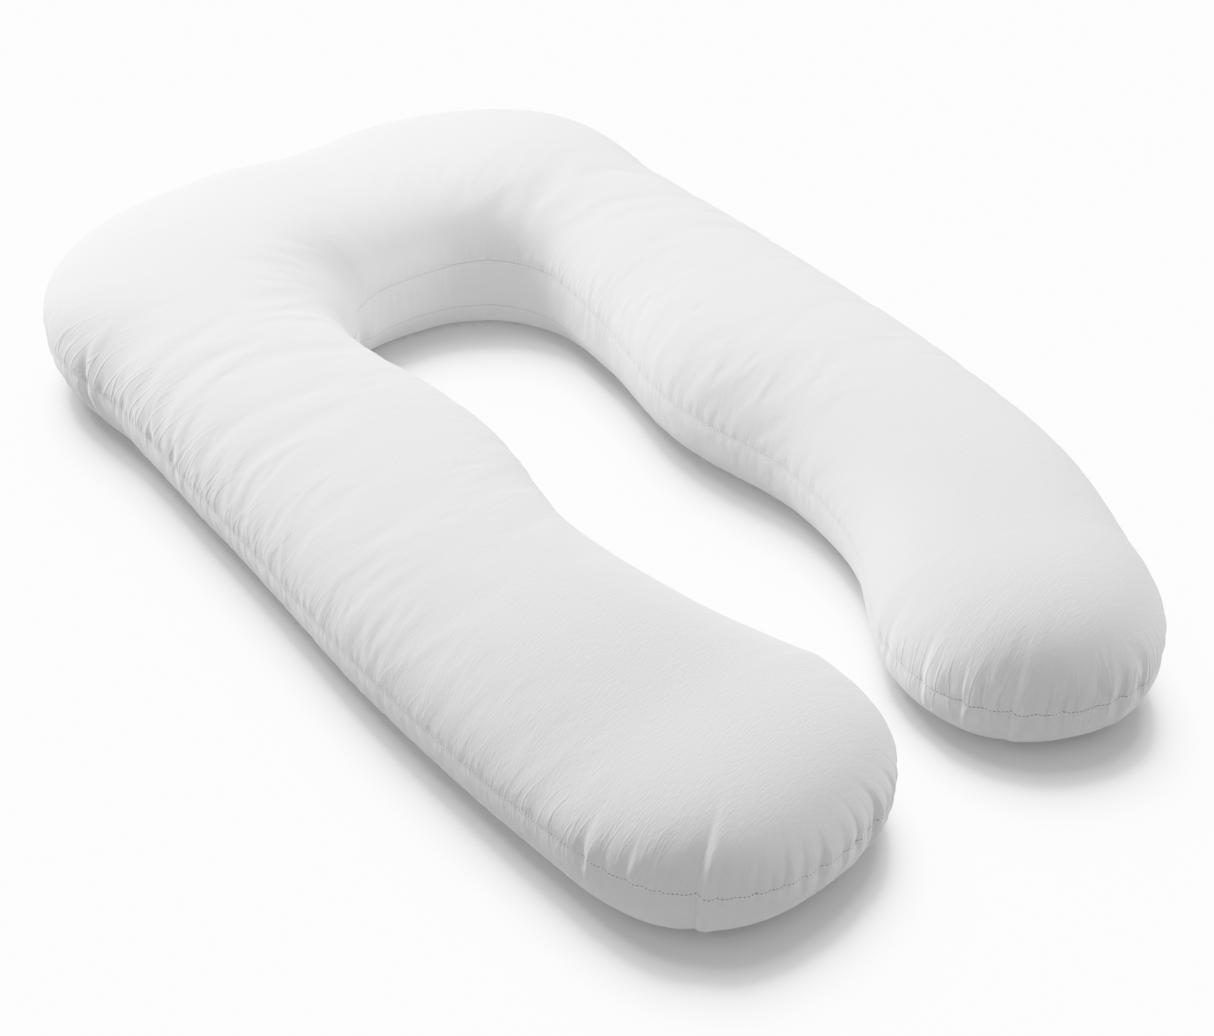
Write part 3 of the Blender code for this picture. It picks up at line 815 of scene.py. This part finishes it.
NAP_HEIGHT = 0.00006
CLOUD_SCALE = 14.0             # the white is unevenly light by CLOUD_SPREAD, in soft clouds
CLOUD_SPREAD = 0.015
COTTON_WHITE = (0.80, 0.80, 0.81)
# painted highlight: the lip is lighter where its pressed edge would catch the light
LIP_HIGHLIGHT_WHITE = (0.96, 0.96, 0.96, 1.0)
# painted shade in the groove of the band's lower seam
LOWER_SEAM_PAINTED_SHADE = (0.35, 0.35, 0.37, 1.0)
# painted shade in the needle holes
HOLE_PAINTED_SHADE = (0.10, 0.10, 0.11, 1.0)

material = bpy.data.materials.new("white brushed cotton twill")
cloth = Graph(material)
place = cloth.node("TexCoord", output=3)
seam_place = cloth.node("UVMap", uv_map="seam")
along = cloth.node("SeparateXYZ", {0: seam_place}, output=0)
above = cloth.node("SeparateXYZ", {0: seam_place}, output=1)
above_floor = cloth.node("SeparateXYZ", {0: place}, output=2)

turned = cloth.node("Mapping", {"Vector": place, "Rotation": (0.0, 0.0, TWILL_TURN),
                                "Scale": (TWILL_LENGTH, TWILL_PITCH, TWILL_LENGTH)}, vector_type="TEXTURE")
ribs = cloth.node("TexNoise", {"Vector": turned, "Scale": 1.0, "Detail": 1.0, "Roughness": 0.5})
nap = cloth.node("TexNoise", {"Vector": place, "Scale": NAP_SCALE, "Detail": 2.0, "Roughness": 0.6})
clouds = cloth.node("TexNoise", {"Vector": place, "Scale": CLOUD_SCALE, "Detail": 3.0, "Roughness": 0.55})

wave = cloth.maths("ABSOLUTE", cloth.maths("SINE", cloth.maths("MULTIPLY", along, np.pi / STITCH_PITCH)))
# needle holes: sunk by the bump, and darkened with painted shade in the colour
hole = cloth.maths("MULTIPLY", cloth.fade(cloth.apart(above, STITCH_LINE), *HOLE_EDGES),
                   cloth.fade(wave, *HOLE_SPAN, *HOLE_SHARES))
lip = cloth.fade(cloth.apart(above, -LIP_LINE), 0.0, LIP_WIDTH, interpolation_type="SMOOTHSTEP")
# painted shade line along the band's lower seam
painted_seam_shade = cloth.fade(cloth.apart(above_floor, LOWER_SEAM), *LOWER_LINE, LOWER_SHARE)
on_band = cloth.node("Attribute", output=2, attribute_name="band")
tint = cloth.mixed(clouds, (*((1 - CLOUD_SPREAD) * c for c in COTTON_WHITE), 1.0),
                   (*((1 + CLOUD_SPREAD) * c for c in COTTON_WHITE), 1.0))
# painted highlight along the lip
colour = cloth.mixed(cloth.maths("MULTIPLY", lip, LIP_HIGHLIGHT_SHARE), tint, LIP_HIGHLIGHT_WHITE)
colour = cloth.mixed(cloth.maths("MULTIPLY", painted_seam_shade, on_band), colour, LOWER_SEAM_PAINTED_SHADE)
# painted shade in the needle holes
colour = cloth.mixed(hole, colour, HOLE_PAINTED_SHADE)

pucker_place = cloth.node("Mapping", {"Vector": seam_place, "Scale": (1 / PUCKER_SIZE[0], 1 / PUCKER_SIZE[1], 1.0)})
puckers = cloth.node("TexNoise", {"Vector": pucker_place, "Scale": 1.0, "Detail": 1.0})
by_seam = cloth.fade(cloth.maths("ABSOLUTE", above), *PUCKER_REACH, interpolation_type="SMOOTHERSTEP")
crease_place = cloth.node("Mapping", {"Vector": seam_place, "Scale": (1 / CREASE_SIZE[0], 1 / CREASE_SIZE[1], 1.0)})
crease_waves = cloth.node("TexNoise", {"Vector": crease_place, "Scale": 1.0, "Detail": 1.0, "Roughness": 0.4})
creases = cloth.fade(cloth.apart(crease_waves, 0.5), 0.0, CREASE_WIDTH, interpolation_type="SMOOTHSTEP")
creased = cloth.node("Attribute", output=2, attribute_name="creased")
height = cloth.maths("MULTIPLY", cloth.maths("MULTIPLY", puckers, by_seam), PUCKER_HEIGHT)
for relief, tall in ((lip, LIP_HEIGHT), (cloth.maths("MULTIPLY", creases, creased), CREASE_HEIGHT),
                     (ribs, RIB_HEIGHT), (nap, NAP_HEIGHT), (hole, -HOLE_DEPTH)):
    height = cloth.maths("MULTIPLY_ADD", relief, tall, height)
bump = cloth.node("Bump", {"Strength": 1.0, "Distance": 1.0, "Height": height})
cloth.give(cloth.shader, {"Base Color": colour, "Normal": bump, "Roughness": 0.92, "Specular IOR Level": 0.25,
                          "Sheen Weight": 0.12, "Sheen Roughness": 0.5})
cover.data.materials.append(material)

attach(cover, "root")
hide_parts("pillow")

# Thread: white sewing thread, seen as a row of short stitches all along the closing seam. A stitch lies in each gap
# between two needle holes, pulled a little into the cloth at both ends.
THREAD_WIDTH = 0.0005
STITCH_LENGTH = 0.0028
STITCH_SIDES = 5
STITCH_PROUD = 0.0001
BELT_PLACE = 0.32          # the rings of a stitch stand this share of its length from its middle
AIM_STEP = 0.001           # the seam's direction is taken over this distance to both sides
PLY_SCALE = 3000.0
THREAD_SHADES = ((0.62, 0.62, 0.64, 1.0), (0.78, 0.78, 0.80, 1.0))


def read_ring(values, at):
    """Values round the seam read at the given distances along it, on a ring that is closed."""
    arc = np.append(fine.arc, fine.round)
    return np.column_stack([np.interp(at, arc, np.append(column, column[0])) for column in values.T])


def unit(vectors):
    """Vectors made one long."""
    return vectors / np.linalg.norm(vectors, axis=1)[:, None]


# Each stitch is a small spindle: a ring of points near each end and a point at each tip
seam_ring = rings[fine.seam_level]
up_panel = rings[fine.seam_level - 1] - seam_ring
stitch_ring = seam_ring + up_panel * np.minimum(STITCH_LINE / np.linalg.norm(up_panel, axis=1)[:, None], 1)
count = int(fine.round / STITCH_PITCH)
middles = (np.arange(count) + 0.5) * STITCH_PITCH
centre = read_ring(stitch_ring, middles)
run = unit(read_ring(stitch_ring, middles + AIM_STEP) - read_ring(stitch_ring, middles - AIM_STEP))
proud = read_ring(fine.outward(rings)[fine.seam_level], middles)
proud = unit(proud - run * np.sum(proud * run, axis=1)[:, None])
sideways = np.cross(run, proud)
turn = (np.arange(STITCH_SIDES) / STITCH_SIDES * 2 * np.pi)[None, :, None]
belt = THREAD_WIDTH / 2 * (np.cos(turn) * proud[:, None] + np.sin(turn) * sideways[:, None])
centre = (centre + proud * STITCH_PROUD)[:, None]
tip = run[:, None] * STITCH_LENGTH / 2
sunk = proud[:, None] * THREAD_WIDTH / 2
shift = run[:, None] * STITCH_LENGTH * BELT_PLACE
stitch = np.concatenate([centre - tip - sunk, centre - shift + belt, centre + shift + belt, centre + tip - sunk],
                        axis=1)
each = stitch.shape[1]
pairs = [(a, (a + 1) % STITCH_SIDES) for a in range(STITCH_SIDES)]
pattern = [[0, 1 + b, 1 + a] for a, b in pairs]
pattern += [[1 + a, 1 + b, 1 + STITCH_SIDES + b, 1 + STITCH_SIDES + a] for a, b in pairs]
pattern += [[each - 1, 1 + STITCH_SIDES + a, 1 + STITCH_SIDES + b] for a, b in pairs]
faces = [[corner + each * number for corner in face] for number in range(count) for face in pattern]
thread = put("seam_thread", mesh_of("seam_thread", stitch.reshape(-1, 3), faces))

thread_material = bpy.data.materials.new("white sewing thread")
twist = Graph(thread_material)
ply = twist.node("TexNoise", {"Vector": twist.node("TexCoord", output=3), "Scale": PLY_SCALE, "Detail": 1.0})
twisted = twist.node("Bump", {"Strength": 0.6, "Distance": 0.0002, "Height": ply})
twist.give(twist.shader, {"Base Color": twist.mixed(ply, *THREAD_SHADES), "Normal": twisted, "Roughness": 0.7})
thread.data.materials.append(thread_material)
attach(thread, "root")

# Floor: a plain white sweep of paper, a hair below the pillow's sole. It is matt, takes its light from lamps of its
# own, and throws none back on the pillow.
FLOOR_SIZE = 80.0          # half of its side
FLOOR_DROP = 0.0008
PAPER_GREY = (0.5, 0.5, 0.5, 1.0)

paper_corners = FLOOR_SIZE * np.array([(-1, -1, 0), (1, -1, 0), (1, 1, 0), (-1, 1, 0)]) - (0, 0, FLOOR_DROP)
floor = put("floor", mesh_of("floor", paper_corners, [[0, 1, 2, 3]]))
floor.visible_diffuse = False
paper = bpy.data.materials.new("white paper")
sheet = Graph(paper)
sheet.give(sheet.shader, {"Base Color": PAPER_GREY, "Roughness": 1.0, "Specular IOR Level": 0.0})
floor.data.materials.append(paper)

# Light: for the pillow a low window behind the head, a smaller lamp beyond the right leg end and a weak fill over
# the right leg; for the paper soft boxes of its own; and a room whose ceiling glows a little more than its floor.
ROOM_GLOW = (0.53, 0.62)       # strength from below and from above
ROOM_BLEND = 0.35              # the two meet within this height of the horizon
AIM = (0, 0, 0.1)
PILLOW_LAMPS = [
    # name     place                 size  watts
    ("window", (-0.42, 2.10, 1.27),  1.6,  580.0),
    ("side",   (1.45, -0.75, 0.9),   0.8,  29.0),
    ("fill",   (0.92, 0.0, 0.87),    0.6,  16.0),
]
FLOOR_LAMPS = [
    # name            towards            spread  strength
    ("soft box",      (0.19, 0.54, 1.0), 28.0,   71.0),
    ("wide soft box", (0.17, 0.58, 1.0), 56.0,   21.0),
    ("ceiling",       (0.0, 0.2, 1.0),   110.0,  3.5),
]

world = bpy.data.worlds.new("studio")
room = Graph(world, "Background")
upward = room.node("SeparateXYZ", {0: room.node("TexCoord")}, output=2)
room.give(room.shader, {"Color": (1.0, 1.0, 1.0, 1.0),
                        "Strength": room.fade(upward, -ROOM_BLEND, ROOM_BLEND, *ROOM_GLOW)})
bpy.context.scene.world = world


def lit_together(name, pieces):
    """A collection of the pieces that a lamp lights."""
    lit = bpy.data.collections.new(name)
    for piece in pieces:
        lit.objects.link(piece)
    return lit


def hang(name, kind, place, towards, receivers):
    """A lamp at a place, turned so that its light comes from the given direction and falls on the receivers."""
    lamp = put(name, bpy.data.lights.new(name, kind))
    lamp.matrix_world = Matrix.Translation(place) @ towards.to_track_quat("Z", "Y").to_matrix().to_4x4()
    lamp.light_linking.receiver_collection = receivers
    return lamp.data


for_pillow = lit_together("lit by the window", (cover, thread))
for_floor = lit_together("lit by the soft box", (floor,))
for name, place, size, watts in PILLOW_LAMPS:
    lamp = hang(name, "AREA", place, Vector(place) - Vector(AIM), for_pillow)
    lamp.energy = watts
    lamp.size = size
for name, towards, spread, strength in FLOOR_LAMPS:
    lamp = hang(name, "SUN", (0, 0, 0), Vector(towards), for_floor)
    lamp.energy = strength
    lamp.angle = np.radians(spread)

# View: a three-quarter view from the left of the leg ends, from above standing height and with a long lens, so the
# head of the pillow lies up in the left of the picture and the right leg end down in the right.
CAMERA_PLACE = (-1.2436, -1.7470, 1.5804)
CAMERA_TURN = np.radians(36.29)      # from +Y towards +X
CAMERA_DROP = np.radians(37.04)      # below the horizon
CAMERA_ROLL = np.radians(1.006)
CAMERA_LENS = 67.25                  # millimetres on a sensor 36 mm wide

forward = Vector((np.sin(CAMERA_TURN) * np.cos(CAMERA_DROP), np.cos(CAMERA_TURN) * np.cos(CAMERA_DROP),
                  -np.sin(CAMERA_DROP)))
level = Vector((np.cos(CAMERA_TURN), -np.sin(CAMERA_TURN), 0.0))
upright = level.cross(forward)
right = level * np.cos(CAMERA_ROLL) + upright * np.sin(CAMERA_ROLL)
up = upright * np.cos(CAMERA_ROLL) - level * np.sin(CAMERA_ROLL)
camera = put("camera", bpy.data.cameras.new("camera"))
camera.matrix_world = Matrix.Translation(CAMERA_PLACE) @ Matrix((right, up, -forward)).transposed().to_4x4()
camera.data.lens = CAMERA_LENS
camera.data.sensor_width = 36.0
camera.data.clip_start = 0.01
bpy.context.scene.camera = camera
